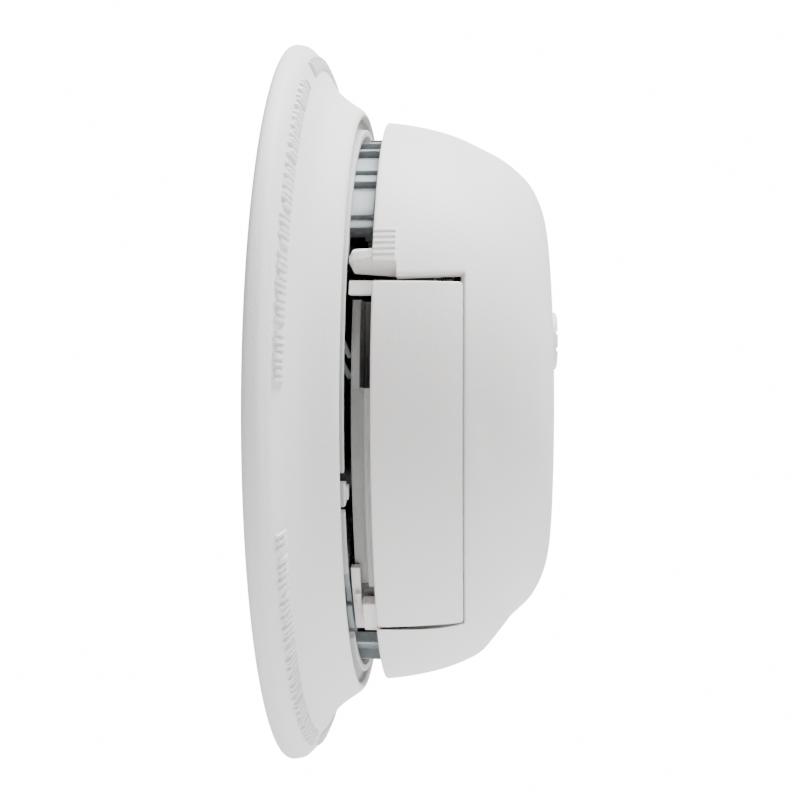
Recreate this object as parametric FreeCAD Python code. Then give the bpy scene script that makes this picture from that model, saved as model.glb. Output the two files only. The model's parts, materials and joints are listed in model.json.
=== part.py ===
import FreeCAD, Part
import math
import os

# A mains smoke alarm with a side-loading battery drawer, on its wall bracket.
# Millimetres. +Z is up, the wall is the plane Y = 0 and the alarm looks towards -Y.
# A "depth" below is the distance from the wall into the room, so Y = -depth.
# An angle is measured about the alarm's axis from +X towards +Z.
# The origin is on the alarm's axis, on the bracket's back face.

# Driving dimensions
FLANGE_R = 72.2
COLLAR_R = 54.0
COLLAR_T = 2.0
LIP_DEPTH = 13.95
LIP_RING_R = 55.4
LIP_NOTCHES = ((191.0, 193.1), (197.2, 198.3), (210.9, 229.6))
BASE_T = 2.2
WIRING_HOLE_R = 25.0
COVER_R = 56.7
COVER_EDGE = 18.35
COVER_FRONT = 51.45
COVER_T = 2.0
FACE_R = 36.5
FACE_EDGE_DEPTH = 49.6
HOUSING_R = 51.4
HOUSING_T = 1.8
HOUSING_BACK = 3.0
HOUSING_FLOOR = 5.0
HOUSING_TOP = 21.0
BOARD_R = 46.5
BOARD_BACK = 10.0
BOARD_FRONT = 11.6
CLEARANCE = 0.3
# Raised bands round the housing's wall, as (outer radius, from angle, to angle)
BANDS = ((52.7, 100, 102), (52.7, 112, 113.5), (53.1, 121, 126), (52.3, 126, 128), (53.1, 128, 130.3),
         (52.0, 130.3, 133.7), (52.9, 133.7, 140.5), (52.2, 140.5, 143.1), (53.3, 235.9, 237.2),
         (53.3, 250, 251.3), (53.3, 268, 269.3), (53.3, 284, 285.3), (53.3, 300, 301), (53.3, 320, 321),
         (53.3, 340, 341), (53.3, 0, 1), (53.3, 20, 21), (53.3, 40, 41), (53.3, 60, 61), (53.3, 80, 81))
BAND_BACK = 10.2
BAND_FRONT = 17.8

# Wall screws: 3.5 in pitch across, 2.75 in pitch up and down
WIDE_PITCH = 88.9
NARROW_PITCH = 69.85
SLOT_R = 2.25
SLOT_LENGTH = 9.0

# Twist lock: four lugs under four tabs, free after the twist
LOCK_ANGLES = (45, 135, 225, 315)
TAB_HALF = 6.0
LUG_HALF = 5.0
TAB_BACK = 7.8
TAB_FRONT = 9.8
LUG_BACK = 5.4
LUG_FRONT = 7.5

# Screw posts and board posts, as (radius, angle)
COVER_POSTS = ((45.0, 100), (42.5, 3), (42.0, -57))
BOARD_POSTS = ((41.0, 72), (41.0, -30), (40.0, -90))

# Battery drawer and its pivot, which is parallel to the alarm's axis
DRAWER_BACK = 14.9
FACE_BACK = 18.5
DRAWER_FRONT = 33.6
DRAWER_TOP = 21.4
DRAWER_BOTTOM = -39.0
DRAWER_WALL = 0.7
SKIRT_R = 52.0
PIVOT_X = -37.5
PIVOT_Z = -32.6
PIN_R = 1.2
PIN_FIT = 0.05
KNUCKLE_R = 3.0
SWING_R = 55.7
PIVOT_TOP = 13.85
GUARD_FRONT = 15.8
BATTERY_X = -40.2
BATTERY_W = 26.0
BATTERY_T = 16.8
BATTERY_Z = -29.2
BATTERY_H = 46.0
TERMINAL_PITCH = 12.7
TERMINAL_H = 2.8

# Mains inlet
INLET_PIN_X = (-5.5, 0.0, 5.5)
PIN_HALF_W = 0.5
PIN_HALF_H = 1.6

# Front face
BUTTON_Z = 12.0
BUTTON_R = 6.0
BUTTON_PROUD = 1.0
BUTTON_TRAVEL = 1.0
BUTTON_BACK = 46.0
SWITCH_FRONT = 16.0
GUIDE_FLOOR = 40.0
LIGHT_Z = -1.5
LIGHT_R = 1.5
HORN_Z = -22.0
HORN_R = 14.5
HORN_BACK = 36.0
HORN_FRONT = 45.3
CRESCENT_SHIFT = 4.3
CRESCENT_FORWARD = 0.35
CRESCENT_START = 27.0
CRESCENT_RUN = 25.4
SOUND_RINGS = ((4.6, 3), (8.0, 4), (11.4, 6))
SOUND_SLOT_HALF = 0.8
SOUND_HOLE_R = 1.3
PAD_RIDGES = 5
PAD_START = 147.3
PAD_END = 154.2
PAD_R = 56.85
RIDGE_PITCH = 1.18
RIDGE_WIDTH = 0.65
CHAMBER_X = 21.0
CHAMBER_Z = 20.0
CHAMBER_R = 17.0
CHAMBER_FRONT = 33.0

os.makedirs("parts", exist_ok=True)


def at(x, depth, z):
    return FreeCAD.Vector(x, -depth, z)


def polar(radius, angle):
    turn = math.radians(angle)
    return radius * math.cos(turn), radius * math.sin(turn)


def fused(shapes):
    shapes = list(shapes)
    first = shapes.pop(0)
    return first.fuse(shapes).removeSplitter() if shapes else first


def rod(x, z, radius, back, front):
    return Part.makeCylinder(radius, front - back, at(x, back, z), FreeCAD.Vector(0, -1, 0))


def tube(x, z, outer, inner, back, front):
    return rod(x, z, outer, back, front).cut(rod(x, z, inner, back - 1, front + 1))


def block(x_low, x_high, back, front, z_low, z_high):
    return Part.makeBox(x_high - x_low, front - back, z_high - z_low, at(x_low, front, z_low))


def prism(points, back, front):
    # The outline is (x, z) points.
    corners = [at(x, back, z) for x, z in points]
    face = Part.Face(Part.makePolygon(corners + corners[:1]))
    return face.extrude(at(0, front - back, 0))


def sector(angle_low, angle_high, back, front, radius=90.0):
    # A wedge of the disc around the axis, wide enough for any spread under 180 degrees.
    steps = max(1, math.ceil((angle_high - angle_low) / 30))
    turns = [angle_low + (angle_high - angle_low) * i / steps for i in range(steps + 1)]
    return prism([(0, 0)] + [polar(radius, turn) for turn in turns], back, front)


def ring_piece(inner, outer, angle_low, angle_high, back, front):
    return tube(0, 0, outer, inner, back, front).common(sector(angle_low, angle_high, back, front))


def turned(edges):
    # Edges lie in the X, Y plane as (radius, -depth), and turn about the Y axis.
    face = Part.Face(Part.Wire(edges))
    return face.revolve(FreeCAD.Vector(0, 0, 0), FreeCAD.Vector(0, 1, 0), 360)


def lines(points):
    spots = [at(radius, depth, 0) for radius, depth in points]
    return [Part.LineSegment(a, b).toShape() for a, b in zip(spots, spots[1:])]


def curve(points):
    line = Part.BSplineCurve()
    line.interpolate([at(radius, depth, 0) for radius, depth in points])
    return line


def arc(a, b, c):
    return Part.Arc(at(a[0], a[1], 0), at(b[0], b[1], 0), at(c[0], c[1], 0)).toShape()


def inset(points, thickness):
    # The same outline moved inwards by a wall's thickness, for points that run from the back to the front.
    line = curve(points)
    moved = []
    for radius, depth in points:
        way = line.tangent(line.parameter(at(radius, depth, 0)))[0]
        moved.append((radius + way.y * thickness, depth + way.x * thickness))
    return moved


# Outlines as (radius, depth): the flange from its rim to the lip, the dome from its edge to the front face
FLANGE = [(72.1, 1.7), (71.2, 3.4), (69.3, 4.8), (66.8, 5.8), (64.0, 7.5), (61.2, 10.4), (59.0, 13.2)]
DOME = [(COVER_R, 18.9), (55.4, 26.7), (53.3, 33.0), (50.1, 39.4), (45.3, 45.6), (41.0, 48.2)]
DOME.append((FACE_R, FACE_EDGE_DEPTH))


def dome_solid(thickness):
    # The full dome, or with a thickness the space inside it.
    outline = inset(DOME, thickness) if thickness else DOME
    front = COVER_FRONT - thickness
    edge_r, edge_depth = outline[-1]
    first_r, first_depth = outline[0]
    back = COVER_EDGE - (1 if thickness else 0)
    back_r = first_r - (0 if thickness else 0.5)
    quarter = edge_depth + (front - edge_depth) * 0.75
    face_arc = arc((edge_r, edge_depth), (edge_r / 2, quarter), (0, front))
    start = lines([(0, front), (0, back), (back_r, back), (first_r, first_depth)])
    return turned([curve(outline).toShape(), face_arc] + start)


def pivot_rod(radius, back, front):
    return rod(PIVOT_X, PIVOT_Z, radius, back, front)


def profile_bar(points, x_low, x_high):
    # The outline is (depth, z) points, drawn out along X.
    corners = [at(x_low, depth, z) for depth, z in points]
    face = Part.Face(Part.makePolygon(corners + corners[:1]))
    return face.extrude(at(x_high - x_low, 0, 0))


def slot(x, z, along_x, back, front):
    # A round-ended screw slot, centred on (x, z).
    reach = SLOT_LENGTH / 2 - SLOT_R
    step_x = reach if along_x else 0
    step_z = 0 if along_x else reach
    middle = block(x - (step_x or SLOT_R), x + (step_x or SLOT_R), back, front,
                   z - (step_z or SLOT_R), z + (step_z or SLOT_R))
    ends = [rod(x + side * step_x, z + side * step_z, SLOT_R, back, front) for side in (-1, 1)]
    return fused([middle] + ends)


def mounting_bracket():
    inner = inset(FLANGE, COLLAR_T)
    rim = lines([(FLANGE_R - COLLAR_T, 0), (FLANGE_R - 0.3, 0), (FLANGE_R, 0.6), FLANGE[0]])
    lip = [arc(FLANGE[-1], (58.5, 13.75), (57.5, 13.3))]
    groove = [(57.5, 13.3), (57.3, 12.3), (LIP_RING_R, 12.3), (LIP_RING_R, LIP_DEPTH), (COLLAR_R, LIP_DEPTH)]
    plate = [(COLLAR_R, BASE_T), (WIRING_HOLE_R, BASE_T), (WIRING_HOLE_R, 0), (COLLAR_R + COLLAR_T, 0)]
    collar = lines(groove + plate + [(COLLAR_R + COLLAR_T, inner[-1][1] - 0.8), inner[-1]])
    hollow = [curve(inner[::-1]).toShape()]
    close = lines([inner[0], (FLANGE_R - COLLAR_T, 0)])
    bracket = turned(rim + [curve(FLANGE).toShape()] + lip + collar + hollow + close)
    locks = []
    low_r = COLLAR_R - 2.1
    high_r = COLLAR_R + 1
    for angle in LOCK_ANGLES:
        locks.append(ring_piece(low_r, high_r, angle - TAB_HALF, angle + TAB_HALF, TAB_BACK, TAB_FRONT))
        stop = angle - LUG_HALF - 0.4
        locks.append(ring_piece(low_r, high_r, stop - 2, stop, LUG_BACK - 0.4, TAB_FRONT))
    webs = [ring_piece(high_r, FLANGE_R - 5.5, angle - 0.7, angle + 0.7, 0.5, 4.5)
            for angle in range(0, 360, 30)]
    bracket = fused([bracket] + locks + webs)
    wide_slots = [slot(side * WIDE_PITCH / 2, 0, True, -1, BASE_T + 1) for side in (-1, 1)]
    narrow_slots = [slot(0, side * NARROW_PITCH / 2, False, -1, BASE_T + 1) for side in (-1, 1)]
    bracket = bracket.cut(fused(wide_slots)).cut(fused(narrow_slots))
    # Gaps in the lip's inner ring: on either side of the catch, and beside the drawer's pivot.
    notches = [ring_piece(COLLAR_R - 1, LIP_RING_R + 0.2, low, high, 12.3, LIP_DEPTH + 1)
               for low, high in LIP_NOTCHES]
    catch = ring_piece(52.6, COLLAR_R + 0.2, 193.9, 196.4, 9.0, 14.5)
    return bracket.cut(fused(notches)).fuse(catch)


def locking_pins():
    # Two spare locking pins clipped to the bracket's base plate.
    pins = []
    for side in (-1, 1):
        x, z = polar(46.5, 90 + side * 38)
        head = rod(x, z, 1.2, BASE_T, BASE_T + 0.6)
        pins.append(head.fuse(block(x - 0.6, x + 0.6, BASE_T, BASE_T + 0.7, z - 4, z + 4)))
    return Part.makeCompound(pins)


def drawer_bay():
    # The room that the drawer needs inside the housing's wall.
    bay = block(-60, -10, PIVOT_TOP, HOUSING_TOP + 4, -42.5, 24.2)
    side = ring_piece(46, 60, 150, 209, 9.0, HOUSING_TOP + 4)
    window = ring_piece(46, 60, 143.1, 150.5, 13.7, HOUSING_TOP + 4)
    return fused([bay, side, window])


def post_spots(posts):
    return [polar(radius, angle) for radius, angle in posts]


def back_housing():
    floor = rod(0, 0, HOUSING_R, HOUSING_BACK, HOUSING_FLOOR)
    wall = tube(0, 0, HOUSING_R, HOUSING_R - HOUSING_T, HOUSING_BACK, HOUSING_TOP)
    rim = tube(0, 0, HOUSING_R, HOUSING_R - HOUSING_T - 1.2, 16.2, 17.4)
    ribs = [ring_piece(HOUSING_R - 0.5, outer, low, high, BAND_BACK, BAND_FRONT) for outer, low, high in BANDS]
    lug_r = COLLAR_R - 0.45
    lugs = [ring_piece(HOUSING_R - 0.5, lug_r, angle - LUG_HALF, angle + LUG_HALF, LUG_BACK, LUG_FRONT)
            for angle in LOCK_ANGLES]
    arches = [tube(*polar(52.0, angle), 3.4, 2.2, 15.0, 17.4).common(tube(0, 0, 53.4, 46, 14, 18))
              for angle in (106, 74)]
    cover_posts = [rod(x, z, 3.2, HOUSING_BACK, 22.0) for x, z in post_spots(COVER_POSTS)]
    board_posts = [rod(x, z, 2.6, HOUSING_BACK, BOARD_BACK) for x, z in post_spots(BOARD_POSTS)]
    pivot_post = pivot_rod(3.4, HOUSING_BACK, PIVOT_TOP).common(rod(0, 0, HOUSING_R, 0, 20))
    pivot_plate = ring_piece(47.5, 53.5, 209, 229.2, 13.0, PIVOT_TOP)
    pivot_plate = pivot_plate.cut(ring_piece(52.6, 54.5, 216.0, 221.5, 12.0, PIVOT_TOP + 1))
    vents = [ring_piece(45, 60, angle, angle + 12, 15.0, 19.4)
             for angle in (-55, -35, -15, 5, 25, 45, 65, 85)]
    posts = fused(cover_posts + board_posts + [pivot_post, pivot_plate])
    shell = fused([floor, wall, rim]).cut(fused(vents)).fuse(ribs + lugs + arches).cut(drawer_bay())
    housing = shell.fuse(posts)
    holes = [rod(x, z, 1.7, HOUSING_BACK - 1, 23) for x, z in post_spots(COVER_POSTS)]
    holes += [rod(x, z, 3.0, HOUSING_BACK - 1, 6.0) for x, z in post_spots(COVER_POSTS)]
    holes += [rod(x, z, 1.1, 6.0, BOARD_BACK + 1) for x, z in post_spots(BOARD_POSTS)]
    holes.append(pivot_rod(PIN_R, 9.0, DRAWER_BACK))
    holes.append(block(-11.5, 11.5, HOUSING_BACK - 1, HOUSING_FLOOR + 1, -7.5, 7.5))
    return housing.cut(fused(holes)).removeSplitter()


def cover_skin(thickness):
    # The dome with its lower front cut back to a second dome that sits higher, in front of a slanting step.
    dome = dome_solid(thickness)
    raised = dome_solid(thickness).translated(at(0, CRESCENT_FORWARD, CRESCENT_SHIFT))
    start = CRESCENT_START - 1.35 * thickness
    step = [(62, start), (34, start + CRESCENT_RUN), (34, 62), (62, 62), (62, start)]
    ring = turned(lines(step)).cut(block(-70, 70, 0, 70, 0, 70))
    return dome.cut(ring.cut(raised))


def battery_opening():
    back = 16.0
    front = DRAWER_FRONT + CLEARANCE
    bottom = DRAWER_BOTTOM - CLEARANCE
    outline = [(back, bottom), (front, bottom), (front, 23.0), (back, 22.0)]
    # Round the pivot the opening follows the drawer's lower edge as it turns.
    relief = Part.makeCone(7.65, 6.85, front - back, at(PIVOT_X, back, PIVOT_Z), FreeCAD.Vector(0, -1, 0))
    return profile_bar(outline, -70, -20).fuse(relief.common(block(-70, -30, 0, 40, -50, -30)))


def sound_slots():
    # Rings of curved slots in front of the horn.
    slots = [rod(0, HORN_Z, SOUND_HOLE_R, 44, 55)]
    for radius, count in SOUND_RINGS:
        ring = tube(0, HORN_Z, radius + SOUND_SLOT_HALF, radius - SOUND_SLOT_HALF, 44, 55)
        for index in range(count):
            middle = 360 * index / count + 90
            half = 180 / count - 60 / radius
            wedge = sector(middle - half, middle + half, 44, 55, 30)
            slots.append(ring.common(wedge.translated(FreeCAD.Vector(0, 0, HORN_Z))))
    return slots


def cover_hook():
    # The beak over the drawer's upper corner.
    outline = [(14.4, 25.7), (14.4, 24.5), (15.2, 22.7), (22.4, 22.1), (22.4, 27.0), (14.7, 27.0)]
    return profile_bar(outline, -60, -30).common(tube(0, 0, 56.5, 53.2, 14, 23))


def cover_pad():
    # The thumb pad above the drawer, with ridges across it.
    pad = ring_piece(54.5, PAD_R, PAD_START, PAD_END, 18.4, 22.4)
    starts = [PAD_START + 0.3 + RIDGE_PITCH * step for step in range(PAD_RIDGES)]
    return pad.fuse([ring_piece(54.5, PAD_R + 0.2, low, low + RIDGE_WIDTH, 18.4, 22.25) for low in starts])


def front_cover():
    shell = cover_skin(0).cut(cover_skin(COVER_T))
    posts = [tube(x, z, 3.0, 1.2, 22.0, 50.0) for x, z in post_spots(COVER_POSTS)]
    guide = [tube(0, BUTTON_Z, BUTTON_R + 1.9, BUTTON_R + CLEARANCE, GUIDE_FLOOR, 50.5),
             tube(0, BUTTON_Z, BUTTON_R + 1.0, 2.2, GUIDE_FLOOR, GUIDE_FLOOR + 1.5)]
    sleeve = [tube(0, LIGHT_Z, LIGHT_R + 1.2, LIGHT_R + 0.02, 44.0, 50.5)]
    pivot_lug = [pivot_rod(3.2, 34.0, 37.0)]
    inside = fused(posts + guide + sleeve + pivot_lug).common(cover_skin(COVER_T / 2))
    cover = shell.cut(battery_opening()).fuse(inside)
    cover = cover.fuse([cover_hook(), cover_pad()])
    holes = sound_slots()
    holes.append(rod(0, BUTTON_Z, BUTTON_R + CLEARANCE, GUIDE_FLOOR + 1.5, 60))
    holes.append(rod(0, LIGHT_Z, LIGHT_R + 0.02, 40, 60))
    holes.append(pivot_rod(PIN_R, 33, 35.4))
    return cover.cut(fused(holes)).removeSplitter()


def cover_screws():
    screws = [rod(x, z, 2.8, 4.2, 6.0).fuse(rod(x, z, 1.2, 6.0, 32.0)) for x, z in post_spots(COVER_POSTS)]
    return Part.makeCompound(screws)


def drawer_face():
    # The piece of the dome that closes the bay, and the tab on its upper rear corner.
    face = dome_solid(0).cut(dome_solid(COVER_T))
    face = face.common(block(-70, -30, FACE_BACK, DRAWER_FRONT, DRAWER_BOTTOM, DRAWER_TOP))
    tab = ring_piece(SKIRT_R, 55.0, 155, 162, 14.7, FACE_BACK + 1)
    lug = ring_piece(53.6, 55.5, 218.4, 225.0, 16.1, FACE_BACK + 0.5)
    return face.fuse([tab.common(block(-70, -30, 14, 20, 19.0, DRAWER_TOP)), lug])


def battery_tray():
    # The box behind the face, open at its upper end, with the knuckle that turns on the pin.
    inner_x = BATTERY_X + BATTERY_W + CLEARANCE + DRAWER_WALL
    floor_z = BATTERY_Z - 1.8
    box_front = DRAWER_FRONT - 0.2
    box = block(-60, inner_x, DRAWER_BACK, box_front, floor_z, 18.3)
    box = box.common(pivot_rod(SWING_R, 0, 60))
    inside = rod(0, 0, SKIRT_R, 10, FACE_BACK).fuse(dome_solid(COVER_T))
    web = block(-45, PIVOT_X, FACE_BACK, box_front, -37.0, floor_z + 1)
    rib = block(-53.5, -46.5, FACE_BACK + 0.1, box_front, 17.5, DRAWER_TOP)
    knuckle = pivot_rod(KNUCKLE_R, DRAWER_BACK, box_front)
    back = DRAWER_BACK + DRAWER_WALL
    front = box_front - DRAWER_WALL
    hold = block(BATTERY_X - 0.2, inner_x - DRAWER_WALL, back, front, BATTERY_Z - 0.1, 40)
    pocket = block(-60, BATTERY_X - 1.2, back + 0.8, front, BATTERY_Z + 4, 40)
    window = block(-60, -45, DRAWER_BACK + 1.4, FACE_BACK, 3.4, 18.3)
    tray = fused([box, web]).common(inside)
    tray = tray.cut(fused([hold, pocket.common(rod(0, 0, 50.2, 0, 60)), window]))
    tray = fused([tray, rib.common(dome_solid(COVER_T)), knuckle])
    tray = tray.cut(pivot_rod(PIN_R + PIN_FIT, 10, 40))
    return tray.cut(drawer_face()).removeSplitter()


def pivot_guard():
    # A curved strip on the drawer that hides its pivot.
    strip = ring_piece(52.4, 53.5, 211.2, 229, PIVOT_TOP + 0.4, GUARD_FRONT)
    foot = prism([(-40.9, -35.6), (-40.1, -33.9), (-42.4, -32.0), (-43.6, -32.6)], DRAWER_BACK, GUARD_FRONT)
    return strip.fuse(foot).cut(pivot_rod(KNUCKLE_R, 10, 40))


def drawer_pin():
    return pivot_rod(PIN_R, 9.0, 35.4)


def battery_middle():
    return DRAWER_BACK + DRAWER_WALL + 0.2 + BATTERY_T / 2


def battery_case():
    back = DRAWER_BACK + DRAWER_WALL + 0.2
    case = block(BATTERY_X, BATTERY_X + BATTERY_W, back, back + BATTERY_T, BATTERY_Z, BATTERY_Z + BATTERY_H)
    edges = [edge for edge in case.Edges if abs(edge.tangentAt(edge.FirstParameter).z) > 0.9]
    return case.makeFillet(2.0, edges)


def terminal_spots():
    middle = BATTERY_X + BATTERY_W / 2
    return [(middle - TERMINAL_PITCH / 2, 2.9), (middle + TERMINAL_PITCH / 2, 4.0)]


def battery_terminals():
    studs = []
    for x, radius in terminal_spots():
        foot = at(x, battery_middle(), BATTERY_Z + BATTERY_H)
        studs.append(Part.makeCylinder(radius, TERMINAL_H, foot, FreeCAD.Vector(0, 0, 1)))
    return Part.makeCompound(studs)


def contact_holder():
    # The moulding over the drawer's upper end that carries the two battery springs.
    middle = battery_middle()
    body = block(-38.5, -15.5, BOARD_FRONT, middle + 7, 24.0, 27.0)
    return body.cut(block(-36, -18, 14, middle + 4, 25.6, 28))


def battery_springs():
    # Two bent strips from the holder down onto the battery's studs.
    middle = battery_middle()
    top = BATTERY_Z + BATTERY_H + TERMINAL_H
    outside = [(middle + 6, 24.0), (middle + 6, 23.6), (middle + 0.6, top + 0.1), (middle - 0.6, top + 0.1)]
    inside = [(middle - 0.5, top + 0.5), (middle + 0.5, top + 0.5), (middle + 5.6, 24.0)]
    outline = outside + [(middle - 5, top + 2.6), (middle - 5.3, top + 2.9)] + inside
    return Part.makeCompound([profile_bar(outline, x - 2, x + 2) for x, _ in terminal_spots()])


def circuit_board():
    board = rod(0, 0, BOARD_R, BOARD_BACK, BOARD_FRONT)
    cuts = [rod(x, z, 3.8, BOARD_BACK - 1, BOARD_FRONT + 1) for x, z in post_spots(COVER_POSTS)]
    cuts += [rod(x, z, 1.3, BOARD_BACK - 1, BOARD_FRONT + 1) for x, z in post_spots(BOARD_POSTS)]
    cuts.append(pivot_rod(4.0, BOARD_BACK - 1, BOARD_FRONT + 1))
    return board.cut(fused(cuts))


def board_screws():
    screws = [rod(x, z, 2.4, BOARD_FRONT, 13.2).fuse(rod(x, z, 1.1, 6.5, BOARD_FRONT))
              for x, z in post_spots(BOARD_POSTS)]
    return Part.makeCompound(screws)


def inlet_shroud():
    # The open box behind the alarm that takes the house wiring's plug.
    outer = block(-11, 11, 0.6, BOARD_BACK, -7, 7)
    hollow = block(-9.8, 9.8, 0, BOARD_BACK - 1.2, -5.8, 5.8)
    return outer.cut(hollow).cut(fused(inlet_blades(0, BOARD_BACK + 1)))


def inlet_blades(back, front):
    return [block(x - PIN_HALF_W, x + PIN_HALF_W, back, front, -PIN_HALF_H, PIN_HALF_H) for x in INLET_PIN_X]


def inlet_pins():
    return Part.makeCompound(inlet_blades(5.2, BOARD_BACK))


def film_capacitor():
    body = block(24, 41, BOARD_FRONT, 26.0, -17.5, -8.5)
    return body.makeFillet(0.6, body.Edges)


def electrolytic_capacitors():
    cans = []
    for x, z, radius, front in ((31.0, -26.0, 4.0, 27.0), (12.0, -12.0, 3.2, 23.0), (20.0, -6.5, 3.2, 23.0)):
        cans.append(rod(x, z, radius, BOARD_FRONT, front).cut(tube(x, z, radius + 1, radius - 0.3, 14.6, 15.2)))
    return Part.makeCompound(cans)


def controller_chip():
    return block(-8.0, 2.4, BOARD_FRONT + 0.3, 14.0, 26.0, 33.5)


def chip_legs():
    legs = [block(-7.4 + 1.3 * step, -6.9 + 1.3 * step, BOARD_FRONT, 12.6, low, low + 0.9)
            for step in range(8) for low in (25.1, 33.5)]
    return Part.makeCompound(legs)


def resistors():
    bodies = []
    for step in range(4):
        x = 4.5 + 3.5 * step
        bodies.append(Part.makeCylinder(1.1, 6.4, at(x, 13.0, -38.5), FreeCAD.Vector(0, 0, 1)))
    return Part.makeCompound(bodies)


def chamber_base():
    base = rod(CHAMBER_X, CHAMBER_Z, CHAMBER_R, BOARD_FRONT, 14.0)
    seat = tube(CHAMBER_X, CHAMBER_Z, 11.0, 9.0, 13.9, 17.0)
    return base.fuse(seat)


def chamber_cap():
    # The lid with its ring of slanted vanes, which lets smoke in and keeps light out.
    lid = rod(CHAMBER_X, CHAMBER_Z, CHAMBER_R, CHAMBER_FRONT - 1.6, CHAMBER_FRONT)
    vanes = []
    for step in range(18):
        vane = Part.makeBox(4.4, CHAMBER_FRONT - 1.5 - 14.1, 0.8, at(0, CHAMBER_FRONT - 1.5, -0.4))
        vane.rotate(FreeCAD.Vector(0, 0, 0), FreeCAD.Vector(0, 1, 0), 38)
        vane.translate(FreeCAD.Vector(12.0, 0, 0))
        vane.rotate(FreeCAD.Vector(0, 0, 0), FreeCAD.Vector(0, 1, 0), 20 * step)
        vanes.append(vane.translated(FreeCAD.Vector(CHAMBER_X, 0, CHAMBER_Z)))
    return fused([lid] + vanes)


def insect_screen():
    return tube(CHAMBER_X, CHAMBER_Z, CHAMBER_R - 0.1, CHAMBER_R - 0.4, 14.05, CHAMBER_FRONT - 1.65)


def optic(angle):
    # A 5 mm lamp body lying across the chamber's seat.
    x, z = polar(7.4, angle)
    start = at(CHAMBER_X + x, 16.6, CHAMBER_Z + z)
    way = FreeCAD.Vector(-x, 0, -z)
    body = Part.makeCylinder(2.4, 3.2, start, way)
    tip = FreeCAD.Vector(start) + way.normalize() * 3.2
    return body.fuse(Part.makeSphere(2.4, tip))


def horn_resonator():
    cup = tube(0, HORN_Z, HORN_R, HORN_R - 1.2, HORN_BACK, HORN_FRONT)
    plate = tube(0, HORN_Z, HORN_R, 3.5, HORN_FRONT - 1.2, HORN_FRONT)
    return cup.fuse(plate)


def piezo_disc():
    brass = rod(0, HORN_Z, HORN_R - 0.4, HORN_BACK - 0.3, HORN_BACK)
    return brass.fuse(rod(0, HORN_Z, HORN_R - 4.5, HORN_BACK - 0.55, HORN_BACK - 0.3))


def horn_contacts():
    posts = [rod(x, z, 0.9, BOARD_FRONT, HORN_BACK - 0.6) for x, z in ((4.0, -20.0), (-5.0, -26.0))]
    posts.append(rod(12.2, -22.0, 0.9, BOARD_FRONT, HORN_BACK - 0.35))
    return Part.makeCompound(posts)


def test_button():
    top = COVER_FRONT + BUTTON_PROUD
    cap = rod(0, BUTTON_Z, BUTTON_R, BUTTON_BACK, top)
    rim = [edge for edge in cap.Edges if edge.Closed and edge.BoundBox.YMax < -(top - 0.01)]
    cap = cap.makeFillet(0.8, rim)
    grooves = [block(-7, 7, top - 0.35, top + 1, BUTTON_Z + middle - 0.35, BUTTON_Z + middle + 0.35)
               for middle in (-1.7, 1.7)]
    stem = rod(0, BUTTON_Z, 1.8, SWITCH_FRONT + BUTTON_TRAVEL + 0.2, BUTTON_BACK + 0.5)
    return cap.cut(fused(grooves)).fuse(stem)


def tactile_switch():
    body = block(-3, 3, BOARD_FRONT, 15.0, BUTTON_Z - 3, BUTTON_Z + 3)
    return body.fuse(rod(0, BUTTON_Z, 1.7, 15.0, SWITCH_FRONT))


def button_spring():
    # The return spring's coils, each as a closed ring.
    wire = 0.25
    start = GUIDE_FLOOR + 1.5 + wire
    rise = (BUTTON_BACK - 0.05 - wire - start) / 3
    rings = [Part.makeTorus(4.2, wire, at(0, start + rise * turn, BUTTON_Z), FreeCAD.Vector(0, 1, 0))
             for turn in range(4)]
    return Part.makeCompound(rings)


def status_lamp():
    return rod(0, LIGHT_Z, 1.5, BOARD_FRONT, 14.4)


def light_pipe():
    return rod(0, LIGHT_Z, LIGHT_R, 15.2, COVER_FRONT + 0.25)


def save(name, shape):
    shape.exportStep("parts/" + name + ".step")
    box = shape.optimalBoundingBox(False)
    print(f"{name:22s} solids {len(shape.Solids):3d} volume {shape.Volume:9.1f} valid {shape.isValid()}"
          f" x {box.XMin:.1f}..{box.XMax:.1f} y {box.YMin:.1f}..{box.YMax:.1f} z {box.ZMin:.1f}..{box.ZMax:.1f}")


PARTS = {
    "mounting_bracket": mounting_bracket,
    "locking_pins": locking_pins,
    "back_housing": back_housing,
    "front_cover": front_cover,
    "cover_screws": cover_screws,
    "drawer_face": drawer_face,
    "battery_tray": battery_tray,
    "pivot_guard": pivot_guard,
    "drawer_pin": drawer_pin,
    "battery_case": battery_case,
    "battery_terminals": battery_terminals,
    "contact_holder": contact_holder,
    "battery_springs": battery_springs,
    "circuit_board": circuit_board,
    "board_screws": board_screws,
    "inlet_shroud": inlet_shroud,
    "inlet_pins": inlet_pins,
    "film_capacitor": film_capacitor,
    "electrolytic_capacitors": electrolytic_capacitors,
    "controller_chip": controller_chip,
    "chip_legs": chip_legs,
    "resistors": resistors,
    "chamber_base": chamber_base,
    "chamber_cap": chamber_cap,
    "insect_screen": insect_screen,
    "infrared_lamp": lambda: optic(200),
    "photodiode": lambda: optic(70),
    "horn_resonator": horn_resonator,
    "piezo_disc": piezo_disc,
    "horn_contacts": horn_contacts,
    "test_button": test_button,
    "tactile_switch": tactile_switch,
    "button_spring": button_spring,
    "status_lamp": status_lamp,
    "light_pipe": light_pipe,
}
for name, make in PARTS.items():
    save(name, make())
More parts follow.
